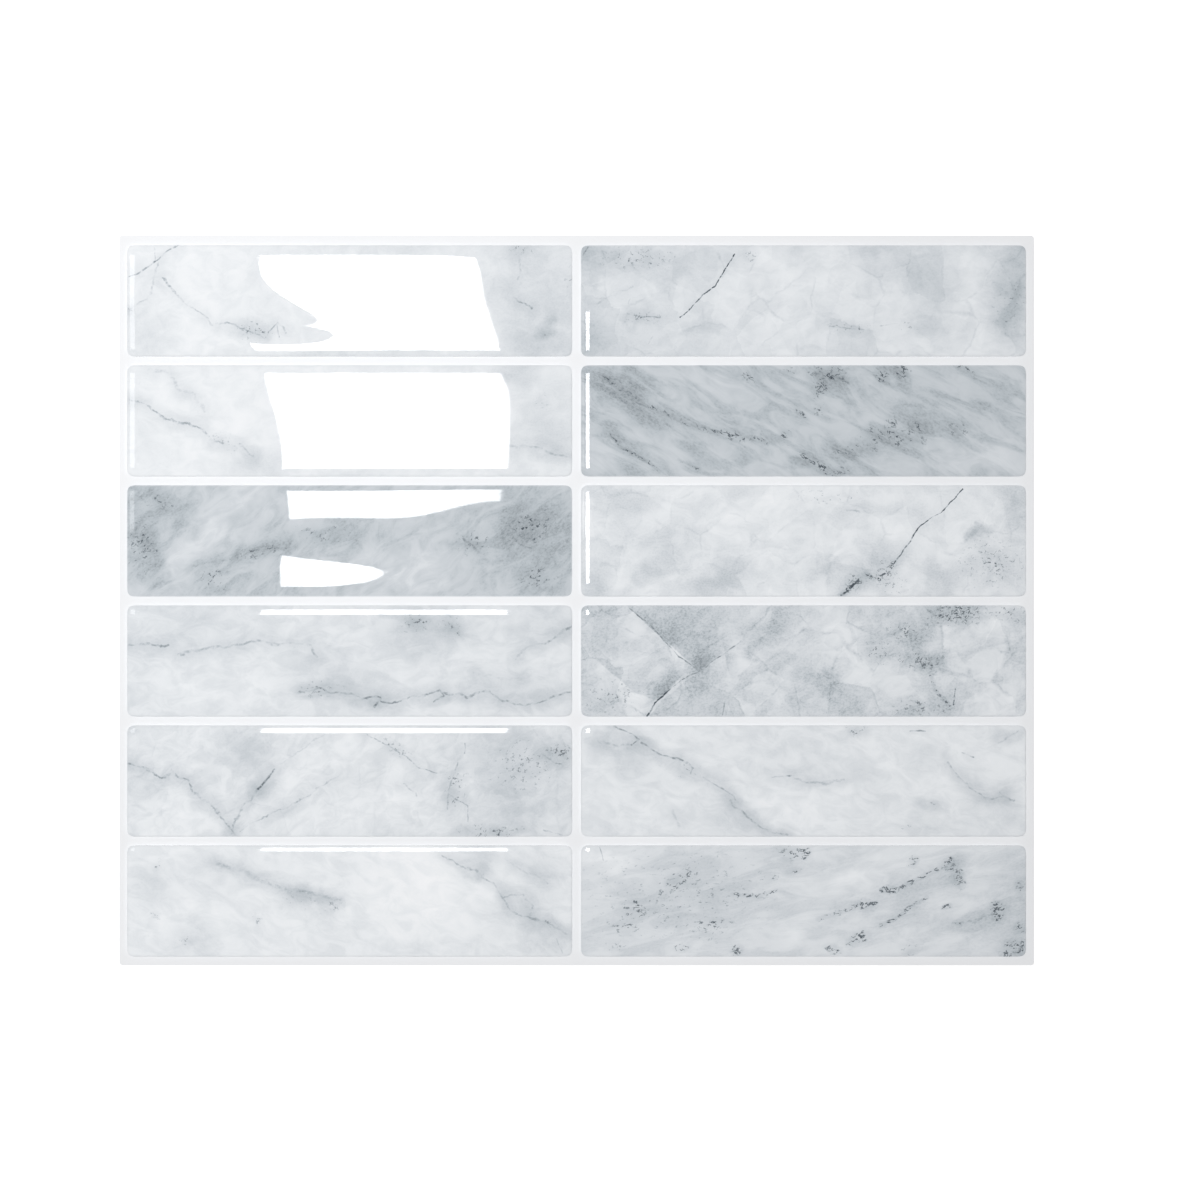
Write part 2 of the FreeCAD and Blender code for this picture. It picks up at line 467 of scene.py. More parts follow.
# %% All of the fields of one plank
STONE_STEP = (211, 97, 13)
WARP_SIZE = 11.0
DRIFTS = {"cloud": 16.0, "vein": 6.0, "crack": 2.6, "chain": 2.6}
PATCHY_SIZE = 6.0
BEAD_SIZE = 1.2


def marble(tree, middle, half, plank, seed):
    """The colour of one printed plank, whose middle and half size are in mm, from its features."""
    where = add(tree, "ShaderNodeTexCoord", out="Object")
    place = add(tree, PLACE, {"Vector": where, "Location": (-middle.x, -middle.y, 0),
                              "Scale": (1 / MM, 1 / MM, 0)})
    stone = add(tree, VECTOR, {0: place, 1: Vector(STONE_STEP) * seed}, operation="ADD")

    # One warp moves the marks off their drawn places: clouds far, veins less, cracks hardly.
    warp = add(tree, NOISE, {"Vector": stone, "Scale": 1 / WARP_SIZE, "Detail": 5, "Roughness": 0.6},
               "Color")
    warp = add(tree, VECTOR, {0: warp, 1: (0.5, 0.5, 0.5)}, operation="SUBTRACT")
    drift = {
        kind: add(tree, VECTOR, {0: warp, 1: (reach, reach, 0), 2: place}, operation="MULTIPLY_ADD")
        for kind, reach in DRIFTS.items()
    }
    # Seams and veins come and go with this noise.
    patchy = add(tree, NOISE, {"Vector": stone, "Scale": 1 / PATCHY_SIZE, "Detail": 3,
                               "Roughness": 0.5}, "Color")
    patchy = add(tree, "ShaderNodeSeparateColor", {"Color": patchy}).node.outputs
    # The fine marks are drawn out along the bed, so they share a place that is pressed along it.
    depth, angle, length, width = plank["streaks"]
    pressed = add(tree, PLACE, {"Vector": stone, "Rotation": (0, 0, math.radians(angle)),
                                "Scale": (math.sqrt(length / width), 1, 1)}, vector_type="TEXTURE")
    beads = add(tree, NOISE, {"Vector": pressed, "Scale": 1 / BEAD_SIZE, "Detail": 3,
                              "Roughness": 0.6}, "Color")
    beads = add(tree, "ShaderNodeSeparateColor", {"Color": beads}).node.outputs

    tone = ground(tree, stone, plank)
    shade = spots(tree, drift["cloud"], plank["patches"])
    tone = add(tree, MATH, {0: tone, 1: shade}, operation="SUBTRACT")
    shade = spots(tree, drift["crack"], plank["facets"], cut=True)
    tone = add(tree, MATH, {0: tone, 1: shade}, operation="SUBTRACT")
    tone = broken_pieces(tree, tone, drift["vein"], patchy["Red"], plank["net"])
    core, chain = veins(tree, drift, beads, patchy["Green"], plank["veins"])
    tone = add(tree, MATH, {0: tone, 1: core}, operation="SUBTRACT")
    tone = salt(tree, tone, pressed, plank)
    dense = spots(tree, drift["vein"], plank["specks"])
    dense = add(tree, MATH, {0: dense, 1: chain}, operation="ADD")
    tone = mineral(tree, tone, dense, pressed, beads["Blue"])
    # The last step paints the glow at the edge, which is light and not the stone's own colour.
    return marble_colour(tree, paint_edge_glow(tree, tone, place, half))


print("Each plank is cut", STONE_STEP, "mm further on in the stone")

# %% [markdown]
# ## Twelve planks
# Each plank of the print shows another cut of the stone, so each has its own list. Places are in
# millimetres from the plank's middle, with x to the right and y up. A patch, a facet or a cluster
# of specks is an oval: depth, x, y, reach along x, reach along y and angle. A facet is cut off
# along a break. A vein is its kind, depth, width, the depth of its halo, and the points that it
# runs through. The kinds are a vein, which wanders, a crack, which hardly does, and a chain,
# which draws no line but gathers marks of mineral.

# %% What a plank can have
PLANKS = {}


def plank(name, tone, clouds=0.1, mottle=0.05, salt=0.04, streaks=(0.06, 0, 8, 5), net=0.0,
          patches=(), facets=(), veins=(), specks=()):
    """Writes down one plank of the print."""
    PLANKS[name] = {"tone": tone, "clouds": clouds, "mottle": mottle, "salt": salt, "net": net,
                    "streaks": streaks, "patches": patches, "facets": facets, "veins": veins,
                    "specks": specks}
    print(name, "has", len(veins), "lines and", len(patches + facets + specks), "ovals")


# %% Row 1
plank(
    "row1_col1", 0.945, clouds=0.08, mottle=0.03, streaks=(0.03, 0, 6, 5),
    patches=(
        (0.08, 63, -2, 30, 34, 0), (0.05, 60, -15, 18, 8, 0), (0.05, 55, 17, 14, 6, 0),
        (0.10, 63.5, -8, 4, 4, 0), (0.06, -66, -11, 13, 9, 0), (0.03, -41, 3.5, 6, 6, 0),
        (0.02, -30, -9, 14, 6, 0), (0.04, 5, 17.5, 50, 5, 0), (0.05, 0, -18, 70, 4, 0),
    ),
    veins=(
        ("crack", 0.35, 0.7, 0.02, ((-71, 7), (-68, 8.5), (-64.5, 11), (-60, 14.5), (-55, 17.8))),
        ("crack", 0.12, 0.6, 0, ((-62.5, 17), (-62, 13.5))),
        ("vein", 0.12, 0.9, 0.02, ((-61, 13), (-62, 8), (-64, 3), (-67.5, -1), (-70.5, -3.5))),
        ("vein", 0.18, 0.9, 0.03, ((-60, 7.5), (-56, 2.5), (-52.5, -1.3), (-50, -2.5), (-44, -7),
                                   (-39, -7), (-34, -9), (-28, -11))),
        ("crack", 0.2, 0.7, 0.02, ((-26, -10), (-23.5, -7), (-21.5, -8.5), (-20.5, -10.5))),
        ("crack", 0.15, 0.6, 0, ((-23.5, -7.5), (-22.5, -11.5))),
        ("vein", 0.2, 0.8, 0.02, ((53, 1.5), (55, 0), (58, -2.3))),
        ("vein", 0.08, 1.0, 0.02, ((54.5, 13), (53, 8))),
        ("vein", 0.08, 0.8, 0.02, ((46.5, 5), (49.5, 4.5))),
    ),
    specks=((0.6, -31, -9.5, 8, 4, 0), (0.7, -71, -3.5, 2, 2, 0), (0.5, 55, 16.5, 6, 3, 0),
            (0.5, 63.5, -10.5, 2, 1, 0), (0.3, 71, 5, 3, 8, 0)),
)
plank(
    "row1_col2", 0.905, clouds=0.12, mottle=0.06, salt=0.05, streaks=(0.03, 0, 7, 5), net=0.035,
    patches=(
        (0.12, -70, 13, 9, 14, 0), (0.06, -50, 13, 26, 9, 0), (0.10, -68, -12, 14, 12, -40),
        (0.05, -32, -8, 6, 4, 0), (0.04, -43.5, 7, 5, 4, 0), (0.05, 22, 16, 9, 6, 0),
        (0.05, 38, 10, 13, 9, 0), (0.05, 43, -3, 8, 16, -15), (0.10, 66, 1, 13, 24, 0),
        (0.05, 65, 5, 6, 6, 0), (0.05, 66, -5, 6, 6, 0), (0.04, 42, -10, 9, 6, 0),
        (0.06, 70, 16, 9, 7, 0), (-0.03, 5, 3, 26, 18, 0), (-0.03, -24, -12, 8, 5, 0),
    ),
    veins=(
        ("crack", 1.2, 0.5, 0.01, ((-22, 15), (-25, 10), (-28, 5))),
        ("crack", 0.8, 0.45, 0, ((-28, 5), (-32.5, 1.8), (-37, -3), (-39.5, -5.2))),
        ("vein", 0.09, 0.8, 0.02, ((-66, -1), (-60, 1), (-55, 4.5))),
        ("crack", 0.2, 0.7, 0.02, ((-56, -4), (-52, -5), (-46, -5.3))),
        ("crack", 0.2, 0.5, 0, ((-48.5, -11.3), (-49.8, -13.5))),
        ("crack", 0.15, 0.5, 0, ((-55.5, 0.5), (-55.7, -1))),
        ("crack", 0.14, 0.6, 0.01, ((8, -8.7), (19, -9))),
        ("crack", 0.12, 0.5, 0.01, ((24.5, -8), (30, -7))),
        ("crack", 0.3, 0.7, 0, ((-70.5, 14.5), (-69, 17.3))),
    ),
    specks=((0.4, -52, 14, 18, 5, 0), (0.4, -18, 14, 5, 5, 0), (0.4, -51, -5, 8, 3, 0),
            (0.4, 14, -9, 9, 3, 0), (0.4, 34, -8, 5, 3, 0), (0.3, 66, 0, 8, 14, 0)),
)

# %% Row 2
plank(
    "row2_col1", 0.95, clouds=0.09, mottle=0.04, streaks=(0.03, 0, 8, 6),
    patches=(
        (0.06, 62, -2, 24, 30, 0), (0.07, 54, 16, 9, 7, 0), (0.04, 66, -6, 10, 10, 0),
        (0.07, -32, -14, 13, 9, 0), (0.05, 2, -17.5, 12, 4, 0), (0.03, -66, -5, 12, 14, 0),
    ),
    veins=(
        ("vein", 0.2, 0.9, 0.04, ((-71, 6.5), (-65, 4.5), (-59, 0.8), (-53, -1), (-47.5, -3),
                                  (-44.5, -7), (-41, -8))),
        ("vein", 0.07, 1.6, 0.03, ((-64, 17), (-59, 15.5), (-54, 10), (-50, 8.5), (-47, 3))),
        ("vein", 0.12, 1.0, 0.03, ((-36, -7), (-33, -9), (-31, -11))),
        ("vein", 0.1, 1.2, 0.03, ((50, -8), (56, -8), (62, -9.5), (71, -12))),
    ),
    specks=((0.4, 61.5, 6.3, 3, 3, 0), (0.3, -40, -7, 6, 4, 0)),
)
plank(
    "row2_col2", 0.785, clouds=0.07, mottle=0.04, salt=0.18, streaks=(0.08, -28, 16, 5.5),
    patches=(
        (0.07, -55, 7, 22, 8, -35), (0.06, -60, 14, 16, 7, -10), (0.04, -40, -3, 22, 6, -25),
        (0.03, -18, -5, 16, 5, -15), (0.03, -56, -10, 18, 4, -35), (-0.03, -27, 10, 18, 7, -20),
        (-0.03, -65, -13, 9, 7, 0), (0.06, 8, 14, 11, 6, -20), (0.03, 0, 3, 8, 6, -60),
        (0.05, 6, -15, 13, 5, -20), (0.05, 28, -5, 16, 5, -10), (0.05, 16, -9, 12, 5, 10),
        (0.04, 38, 7, 8, 6, 0), (0.04, 60, 7, 9, 8, 0), (0.03, 38, -2, 8, 4, 0),
        (0.03, 50, -3, 7, 4, 0), (0.03, 26, 14, 9, 5, 0), (-0.05, 60, -13, 26, 8, -10),
    ),
    veins=(
        ("chain", 0.6, 1.8, 0.01, ((-62, -5), (-58.7, -8.3), (-50, -13), (-46, -16.6))),
        ("chain", 0.4, 1.6, 0, ((-40, -12.5), (-33, -16))),
        ("chain", 0.4, 3.0, 0.01, ((-64, 14), (-52, 6), (-38, -1), (-24, -4.5), (-12, -7))),
    ),
    specks=(
        (1.0, 5, 10, 3, 3.5, -60), (0.9, 8, 14.5, 9, 4, 0), (1.0, -0.3, 2.5, 4.5, 1.5, -50),
        (0.6, 5.5, 4, 3, 3, 0), (0.8, -6, -4.3, 3, 2, -40), (0.9, -23.5, -4.5, 5, 2.2, -30),
        (0.7, -14.5, -6, 3.5, 1.5, -15), (0.6, -18, 14.5, 5, 2.5, -30), (0.5, -5, 15.5, 3, 2, -45),
        (0.8, 3, -14, 8, 2, -38), (0.9, 9, -16.5, 8, 2.5, 0), (1.0, 25, 14.3, 3.5, 4, 0),
        (1.0, 31.3, 16, 3.5, 3, 0), (0.9, 52.5, 16.5, 6, 2.2, -25), (0.6, 28, -5, 14, 5, -8),
        (0.6, 37.5, -1.8, 4, 2.5, 0), (0.7, 50, -3.3, 4.5, 2.8, 0), (0.6, 28.5, 0.5, 3, 3.5, 0),
        (0.5, 17, -9, 10, 4, 0),
    ),
)

# %% Row 3
plank(
    "row3_col1", 0.8, clouds=0.1, mottle=0.07, salt=0.16, streaks=(0.065, 34, 10, 5),
    patches=(
        (0.06, -64, 2, 16, 20, 0), (0.05, -64, 16, 9, 6, 0), (0.05, -56, 11, 11, 7, 0),
        (0.05, -61, -9, 7, 6, 0), (-0.08, -47, 1, 32, 9, 45), (-0.07, 17, -10, 24, 11, 0),
        (0.04, -8, 2, 20, 7, 0), (0.08, 62, 2, 24, 24, 0), (0.05, 52, 3, 8, 9, 0),
        (0.04, 64, -15, 7, 6, 0),
    ),
    veins=(
        ("vein", 0.07, 1.4, 0.03, ((-50, -8), (-40, -6), (-30, -3), (-20, -2))),
        ("vein", 0.1, 1.0, 0.03, ((36, 1), (42, -4))),
        ("crack", 0.18, 0.6, 0, ((54, -1), (58, -2))),
    ),
    specks=((0.5, -66, -1, 8, 12, 0), (0.4, -60, 13, 10, 4, -15), (0.55, -43, -12, 7, 5, 0),
            (0.45, -28, -3.5, 12, 4, 10), (0.4, -8, 1.5, 16, 5, 0), (0.45, 40, 0, 8, 6, 0),
            (0.55, 58, 5, 10, 8, 0), (0.55, 60, -11, 9, 7, 0)),
)
plank(
    "row3_col2", 0.93, clouds=0.08, mottle=0.06, salt=0.08, streaks=(0.04, 0, 9, 7), net=0.03,
    patches=(
        (0.06, -64, 13, 9, 7, 0), (0.07, -52, 12, 10, 7, 0), (0.06, -43, -2, 12, 9, 0),
        (0.06, -24, -9, 10, 8, 0), (0.07, -30, -15, 12, 7, 0), (0.08, -67, -14, 8, 8, 0),
        (0.06, -50, -10, 8, 7, 0), (0.06, 7, -9, 9, 9, 0), (0.14, 56, 2.3, 6, 4, 20),
        (0.08, 68, 13, 11, 10, 0), (0.08, 42, -13, 11, 8, 0), (0.08, 24, -7, 13, 10, 0),
        (0.05, 60, -8, 22, 16, 0), (-0.03, -6, 13, 20, 7, 0), (0.04, -60, 3, 11, 9, 0),
    ),
    veins=(
        ("crack", 1.4, 0.4, 0, ((51, 17), (43.4, 9), (40.5, 7.3), (36.3, 4))),
        ("crack", 1.6, 0.55, 0.01, ((36.3, 4), (33.4, -1), (29.3, -6.8))),
        ("chain", 0.9, 2.4, 0.02, ((29.3, -6.8), (27, -10), (24.5, -11.5), (22, -11.7), (20, -10.5))),
        ("crack", 0.8, 1.0, 0.03, ((17.5, -12), (15, -14.5), (12, -17))),
        ("chain", 1.0, 2.6, 0.01, ((17.5, -12), (12, -17))),
        ("vein", -0.05, 0.7, 0, ((-38, -12), (-28, -4), (-20, 1.5))),
        ("vein", 0.1, 0.8, 0.01, ((14, 10), (18, 9))),
    ),
    specks=((0.7, 16, -13, 5, 5, 0), (0.6, 28, -13, 6, 5, -40), (0.5, 60, -7, 16, 11, 0),
            (0.3, 8, 14.5, 16, 3, 0), (0.4, 26, -8, 6, 5, 0)),
)

# %% Row 4
plank(
    "row4_col1", 0.91, clouds=0.08, streaks=(0.045, 0, 8, 5),
    patches=(
        (-0.03, -48, -7, 30, 11, 0), (0.08, 24, 9, 22, 12, 0), (0.05, 20, 12, 8, 5, 0),
        (0.05, 34, 11, 8, 6, 0), (0.06, -2, -8, 20, 14, -20), (0.05, 55, -10, 22, 10, 0),
        (0.05, 62, 12, 16, 9, 0), (0.03, -45, 12, 26, 9, 0),
    ),
    veins=(
        ("vein", 0.2, 1.0, 0.05, ((-71, 5), (-63, 5.5), (-58, 5.3))),
        ("vein", 0.14, 1.0, 0.04, ((-55, 2), (-45, 3.7), (-36, 5.5), (-29, 7), (-22, 5.3), (-13, 5),
                                   (-11, 1))),
        ("vein", 0.28, 0.8, 0.05, ((-16, -10), (-10, -8.7), (-6, -10), (0, -10.7), (4, -12.3),
                                   (9, -12), (8, -15))),
        ("vein", 0.24, 0.8, 0.04, ((9, -13.5), (16, -12.7), (22, -11), (29.5, -10), (30.5, -11.5),
                                   (27.5, -13.5))),
        ("vein", 0.18, 0.9, 0.04, ((30, -10.5), (38, -11), (44, -10), (48, -13), (56, -14.3),
                                   (64, -12), (71, -9.3))),
        ("vein", 0.18, 1.0, 0.05, ((53, 1), (57, 4.5), (63, 6), (69, 9.5), (71, 11))),
        ("vein", 0.05, 1.2, 0.03, ((40, -4), (55, -6))),
    ),
    specks=((0.5, -10, -9, 9, 4, 0), (0.5, 21, 12, 7, 5, 0), (0.4, 33, 11, 7, 5, 0)),
)
plank(
    "row4_col2", 0.89, clouds=0.1, mottle=0.07, salt=0.17, streaks=(0.05, 10, 9, 6), net=0.05,
    patches=(
        (0.07, -68, 6, 12, 16, 0), (0.05, -58, 4, 10, 8, 0), (0.07, -9, 13, 15, 7, 35),
        (0.07, 7, -6, 11, 10, 0), (0.04, -2, -15, 7, 6, 0), (-0.05, 12, 10, 15, 9, 0),
        (0.05, 31, 7, 15, 10, 0), (0.08, 40, -1, 10, 5, -10), (-0.06, 45, 6, 7, 6, 0),
        (0.07, 50, 15, 17, 6, 0),
        (-0.06, 62, 12, 9, 8, 0), (-0.03, 66, -10, 13, 11, 0), (0.06, 38, -15, 20, 6, 0),
        (-0.05, -42.5, 3.5, 4, 4, 0),
    ),
    facets=(
        (0.12, -45, 7, 22, 24, -42), (0.16, -31, -1.5, 9, 6, 38), (0.17, -43.5, -9.5, 8, 7, 42),
        (-0.08, -60, -5, 14, 11, 140), (-0.07, -52, -11, 9, 8, 165), (0.07, -36, -5, 17, 14, 218),
        (0.05, -47, -14.5, 8, 6, 228), (0.06, -25, 1, 9, 5, 285), (0.05, -12, 9, 12, 9, 215),
    ),
    veins=(
        ("crack", 0.3, 0.6, 0, ((-56, 17), (-53, 14.5), (-48.5, 11.5), (-44, 6), (-40, 1.5),
                                (-34, -2.8))),
        ("crack", 1.1, 0.7, 0.02, ((-43, -9), (-47.5, -13.5), (-50, -17.5))),
        ("crack", 0.6, 0.5, 0, ((-29, 0), (-32, -2.5), (-36, -4.5), (-43, -9))),
        ("crack", 0.25, 0.5, 0, ((-20, 6.5), (-29, 0))),
        ("crack", 0.2, 0.6, 0, ((-25.5, -13), (-26, -17))),
        ("chain", 0.6, 2.0, 0.01, ((40.5, -4), (42, -9), (47.5, -15))),
        ("crack", 0.8, 0.6, 0, ((48.5, -9), (48.3, -14))),
        ("vein", -0.08, 1.0, 0, ((-40, 5), (-35, 9), (-30, 12))),
    ),
    specks=((0.45, -60, -11, 14, 8, 0), (0.5, 24, 3, 6, 5, 0), (0.8, 37, 0, 10, 4, -12),
            (0.9, 49, 15, 13, 5, 0), (0.7, 66, 15, 8, 4, 0), (0.6, 33, 10, 10, 5, 0),
            (0.5, 38, -15, 14, 5, 0)),
)

# %% Row 5
plank(
    "row5_col1", 0.92, clouds=0.1, streaks=(0.045, 20, 6, 4.5), net=0.02,
    patches=(
        (0.06, 52, 0, 30, 30, 0), (0.04, 48, -1, 6, 5, 0), (0.05, 55, 13, 12, 7, 0),
        (0.05, 57, -10, 10, 6, 0), (0.07, 46, -17, 18, 5, 0), (0.05, -32, 6, 9, 9, 0),
        (0.04, -28, 12, 16, 7, 0), (0.07, -27, -1, 8, 10, 0), (-0.04, 36, 0, 5, 5, 0),
        (-0.03, -56, -10, 20, 10, 0), (-0.03, 10, -10, 22, 9, 0), (0.05, 66, 9, 8, 6, 0),
    ),
    veins=(
        ("vein", 0.2, 1.0, 0.05, ((-71, 5.5), (-65, 3), (-60, 1), (-57, 3), (-52, 0), (-50, -3.5),
                                  (-45, -6), (-41, -11), (-38, -15), (-37, -17.5))),
        ("vein", 0.16, 0.9, 0.04, ((-38, -17), (-36, -12), (-34, -8), (-29, -2.3))),
        ("crack", 0.5, 0.9, 0.03, ((-29, -2.3), (-24.3, 3.5))),
        ("vein", 0.08, 0.8, 0.02, ((-22, 5), (-18, 8), (-13.5, 11.5), (-7, 15.5))),
        ("vein", 0.14, 0.6, 0.02, ((-35, -16.5), (-28, -12), (-20, -7.5), (-15, -4.5), (-5, 0.8))),
        ("crack", 0.2, 0.6, 0.02, ((5, 15), (12, 11.5), (18, 8), (22, 4), (28, 2.5))),
        ("crack", 0.3, 0.7, 0.03, ((34.5, 6), (32.5, -1), (31.8, -4), (31.5, -9))),
        ("crack", 0.25, 0.6, 0.02, ((32, -4), (38, -8), (38, -13))),
        ("crack", 0.2, 0.6, 0, ((37, 12), (37, 9))),
        ("vein", 0.12, 0.8, 0.02, ((17, -1), (21, -4.5))),
        ("vein", 0.2, 0.8, 0.03, ((62, 9), (66, 6), (68, 5.5))),
        ("crack", 0.25, 0.6, 0, ((62, -15.5), (66, -16.5), (68, -17))),
    ),
    specks=((0.8, 46, -16.5, 14, 3, 0), (0.7, 68, 9.5, 5, 3, 0), (0.5, 34, -2, 5, 10, 0),
            (0.4, 14, 11, 10, 3, -35), (0.4, 55, 5, 14, 12, 0)),
)
plank(
    "row5_col2", 0.92, clouds=0.1, streaks=(0.045, -15, 8, 5),
    patches=(
        (0.06, -54, 7, 9, 6, 0), (0.04, -62, 13, 10, 6, 0), (0.05, 43, 9, 8, 7, 0),
        (0.06, 38, -8.5, 8, 4, 0), (0.05, 66, 14, 9, 5, 0), (0.05, 60, -6, 12, 8, 0),
        (-0.03, 0, -8, 22, 9, 0), (-0.02, -45, -8, 20, 10, 0), (0.04, -20, -13, 16, 6, -25),
        (0.05, 17, 16.5, 8, 4, 0), (0.04, 40, -15, 24, 6, 0),
    ),
    veins=(
        ("crack", 0.3, 0.7, 0.03, ((-61, 17.5), (-58.5, 16.5), (-55, 15), (-53, 13), (-55, 11.5))),
        ("vein", 0.08, 1.2, 0.03, ((-66, 13.5), (-60, 12), (-56, 11.5))),
        ("crack", 0.28, 0.8, 0.05, ((-52, 12), (-46, 8.3), (-40, 7), (-37, 5.5), (-35.5, 4),
                                    (-36, 2))),
        ("crack", 0.22, 0.7, 0.05, ((-32, 1), (-27, -1.8), (-22.5, -4.5), (-22, -6))),
        ("vein", 0.16, 0.9, 0.05, ((-24, -6), (-22, -8.5), (-17, -12.5), (-11, -16), (-6, -16.5))),
        ("crack", 0.25, 0.6, 0.02, ((-10, 1.2), (-6, 1.6), (-4, 1.7))),
        ("vein", 0.1, 0.9, 0.03, ((-3, 0.5), (5, -0.3), (13, 0))),
        ("vein", 0.16, 0.9, 0.04, ((46, 5.5), (50, 1), (54, -3), (60, -5.5), (64, -4))),
        ("vein", 0.14, 0.9, 0.03, ((62, -3), (68, -6))),
        ("crack", 0.3, 0.6, 0, ((51, 9), (54.5, 7.5))),
        ("crack", 0.25, 0.7, 0, ((34, 16), (39, 16))),
        ("vein", 0.1, 0.9, 0.02, ((62, 12), (68, 16))),
        ("vein", 0.06, 1.2, 0.02, ((-43, -10), (-39, -15))),
    ),
    specks=((0.5, -37, 3, 4, 3, 0), (0.5, 41.5, -7.5, 2, 2, 0), (0.4, 17, 16, 6, 3, 0),
            (0.4, 32, -14.5, 3, 2, 0)),
)

# %% Row 6
plank(
    "row6_col1", 0.935, clouds=0.08, streaks=(0.04, -20, 8, 5),
    patches=(
        (0.05, -64, 4, 12, 10, 0), (0.04, -44, 8, 10, 12, 0), (0.05, -50, -12, 12, 8, 0),
        (-0.04, 20, 2, 30, 22, 0), (0.06, 40, 14, 10, 6, 0), (0.05, 56, -4, 14, 12, 0),
        (0.05, 62, 10, 12, 8, 0), (0.05, 64, -13, 12, 7, 0), (0.04, 23, -16, 9, 5, 0),
        (0.05, -16, 0, 9, 6, 0), (0.04, -6, -2, 6, 4, 0),
    ),
    veins=(
        ("vein", 0.11, 2.2, 0.06, ((-42, 13), (-32, 8.5), (-20, 3.5), (-8, 1), (-3, 0))),
        ("vein", 0.16, 0.9, 0.04, ((30, 15), (33, 13), (36, 11), (41, 10))),
        ("vein", 0.15, 0.9, 0.05, ((43, 9), (48, 4.5), (50, 0.5), (51.5, -4), (56, -6), (63, -7.5),
                                  (67, -9), (70, -10.5))),
        ("vein", 0.12, 0.9, 0.02, ((50, 1), (55, 2), (58, -2), (57.5, -6))),
        ("vein", 0.12, 1.0, 0.03, ((50.5, 14), (55, 10.5), (61, 7.5), (63, 5.5))),
        ("crack", 0.12, 0.5, 0, ((66, -12), (68, -16.5))),
    ),
    specks=((0.35, -16, 0, 8, 4, 0), (0.35, -6, -2, 6, 3, 0), (0.4, -61.5, -4, 2, 2, 0),
            (0.5, -51, -12.7, 4, 2, 0), (0.4, -29, -6, 4, 2, 0), (0.4, -61, 12, 3, 3, 0),
            (0.5, 65, -8, 3, 2, 0)),
)
plank(
    "row6_col2", 0.885, clouds=0.07, mottle=0.03, salt=0.1, streaks=(0.05, 12, 14, 5),
    patches=(
        (-0.05, -62, 12, 14, 8, 0), (-0.05, 14, 6, 20, 6, 25), (-0.04, -2, -9, 14, 5, 35),
        (0.04, -35, 4, 30, 14, 0), (0.06, 66, -14, 12, 8, 0), (0.05, 57, -6, 14, 4, 15),
        (0.05, 49, 8, 6, 7, 0), (0.04, 40, 5, 18, 5, 25), (0.03, -10, 14, 16, 6, 0),
        (0.08, 71, -2, 12, 24, 0),
    ),
    veins=(
        ("crack", 0.15, 0.6, 0, ((-65, 17), (-63.7, 12.7))),
        ("chain", 0.7, 2.4, 0.02, ((4.7, -6), (15.5, -2.3), (23, -0.6))),
        ("chain", 0.95, 2.4, 0.02, ((25, 3.6), (30.5, 4), (38, 7.7), (44, 10.7), (47, 13))),
        ("chain", 0.8, 1.8, 0.02, ((24.7, -7.7), (29, -5.6), (33.4, -1.8), (39.7, 1.1))),
        ("vein", 0.08, 1.6, 0.03, ((43.8, -8), (52, -7), (60.5, -5))),
        ("chain", 0.6, 1.8, 0, ((-23, 2.5), (-15, 1.7), (-9, 3.5))),
    ),
    specks=(
        (0.3, -40, 2, 40, 22, 0), (0.5, -58, -8, 7, 3, 0), (0.5, -60, -14.3, 5, 2.5, 0),
        (0.5, -29, -8, 8, 3, 0), (0.3, -38, 7.5, 5, 5, -30), (0.3, -29, 10, 4, 3.5, 0),
        (0.5, -42, 6, 4, 2.5, 0), (0.5, -53, -3, 7, 4, 0), (0.6, -11, 8.3, 3.5, 2.5, 0),
        (0.6, -3, 10, 4, 2, 0), (0.8, -4, 15.3, 6, 3, 0), (1.2, 1, 15.5, 3, 3.5, -60),
        (1.3, -21.3, -16.2, 2.5, 2.2, 0), (0.6, -39, -15.3, 4, 1.8, 0), (0.9, 19.5, -1.4, 5, 2.2, 0),
        (1.2, 27.5, 3.8, 4, 1.8, 0), (1.0, 45.5, 11.7, 3, 3, 40), (1.0, 35, 13, 2.5, 2.2, 0),
        (1.2, 49.3, 7.5, 3, 4.5, 30), (1.2, 45.3, -2.3, 2.2, 1.3, 20), (1.3, 49.2, -7.4, 1.8, 1.4, 0),
        (1.2, 62.5, -3.7, 3.5, 4, 0), (0.8, 69, 4.3, 2.5, 4, 0), (0.8, 69, -8.5, 2.2, 3, 0),
        (0.9, 67, -15, 7, 4, 0), (1.2, 9, -15, 4.5, 2, -20), (1.3, 17.5, -12.2, 5.5, 2.2, 25),
        (0.5, 33.5, -15.5, 3.5, 2.5, 0),
    ),
)
print("Planks written down:", len(PLANKS))

# %% [markdown]
# ## Gloss over print
# The gel is clear polyurethane: no colour of its own, an index of about 1.5, and a skin as smooth
# as the air it set in. Under it the ink is flat and matt. Glass over paper is slow to render and
# full of noise, because light has to find its way in and out, so one shader holds both: its base
# is the ink, which faces straight up wherever the dome slopes, and its coat is the gel, which
# follows the dome. On the upright wall around the dome the base turns outward too, because a look
# through the wall meets the light that the film throws up. Clear gel lets light through, so the
# domes throw no shadow and only the film and the liner do.

# %% Gel over a printed plank
GEL_IOR = 1.5
GEL_ROUGHNESS = 0.015
WALL_RISE = 0.2


